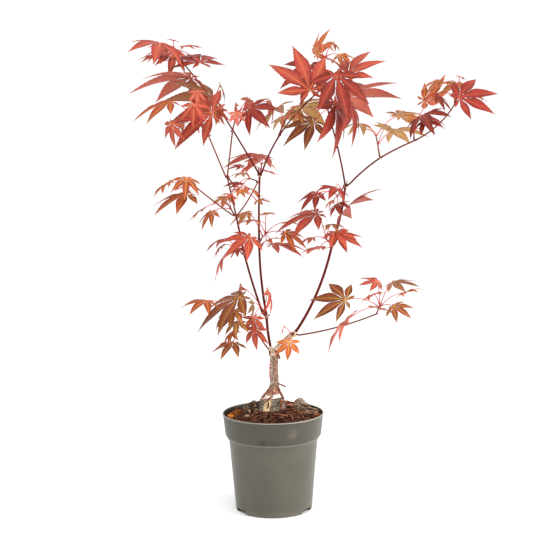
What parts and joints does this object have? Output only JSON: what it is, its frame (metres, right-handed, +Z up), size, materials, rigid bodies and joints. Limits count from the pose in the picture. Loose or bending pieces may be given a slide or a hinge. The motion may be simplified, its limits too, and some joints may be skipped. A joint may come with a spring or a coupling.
{
  "type": "potted japanese maple",
  "caption": "Young Japanese maple in a plastic nursery pot: short grafted trunk, thin dark red stems and sprays of deep-cut red leaves.",
  "frame": {"origin": "middle of the pot's flat underside, on the surface that it stands on", "axes": "+Z up, -Y towards the plant's front, +X to the right seen from the front"},
  "size_m": [0.4501, 0.2321, 0.6124],
  "materials": {
    "pot": "moulded taupe grey, satin",
    "potting_mix": "moist fibrous peat mix",
    "bark_pieces": "weathered bark",
    "trunk_bark": "grey brown bark",
    "stem_bark": "smooth dark red bark",
    "foliage": "thin matt leaves, red to bronze"
  },
  "bodies": {
    "root": {"bark_back_chip": "bark_pieces", "bark_grey_chip": "bark_pieces", "bark_long_chip": "bark_pieces", "bark_lump": "bark_pieces", "bark_pale_chip": "bark_pieces", "bark_red_chip": "bark_pieces", "branch_centre": "stem_bark", "branch_centre_low": "stem_bark", "branch_left": "stem_bark", "branch_left_rise": "stem_bark", "branch_left_top": "stem_bark", "branch_right_end": "stem_bark", "branch_right_far": "stem_bark", "branch_right_out": "stem_bark", "branch_right_top": "stem_bark", "branch_right_up": "stem_bark", "limb_grafted": "trunk_bark", "pot": "pot", "soil": "potting_mix", "spray_centre": "foliage", "spray_centre_low": "foliage", "spray_grafted": "foliage", "spray_inner": "foliage", "spray_left_branch": "foliage", "spray_left_fork": "foliage", "spray_left_low": "foliage", "spray_left_node": "foliage", "spray_left_out": "foliage", "spray_left_up": "foliage", "spray_low_left": "foliage", "spray_low_right": "foliage", "spray_middle_fork": "foliage", "spray_middle_low": "foliage", "spray_middle_node": "foliage", "spray_right_end": "foliage", "spray_right_far": "foliage", "spray_right_fork": "foliage", "spray_right_node": "foliage", "spray_right_out": "foliage", "spray_right_top": "foliage", "spray_right_up": "foliage", "spray_top_left": "foliage", "spray_upper_left": "foliage", "stem_left_high": "stem_bark", "stem_left_low": "stem_bark", "stem_middle": "stem_bark", "stem_middle_high": "stem_bark", "stem_middle_low": "stem_bark", "stem_right_high": "stem_bark", "stem_right_low": "stem_bark", "trunk": "trunk_bark", "twig_left_inner": "stem_bark", "twig_left_low": "stem_bark", "twig_left_out": "stem_bark", "twig_left_up": "stem_bark", "twig_low_left": "stem_bark", "twig_low_right": "stem_bark"}
  },
  "joints": []
}
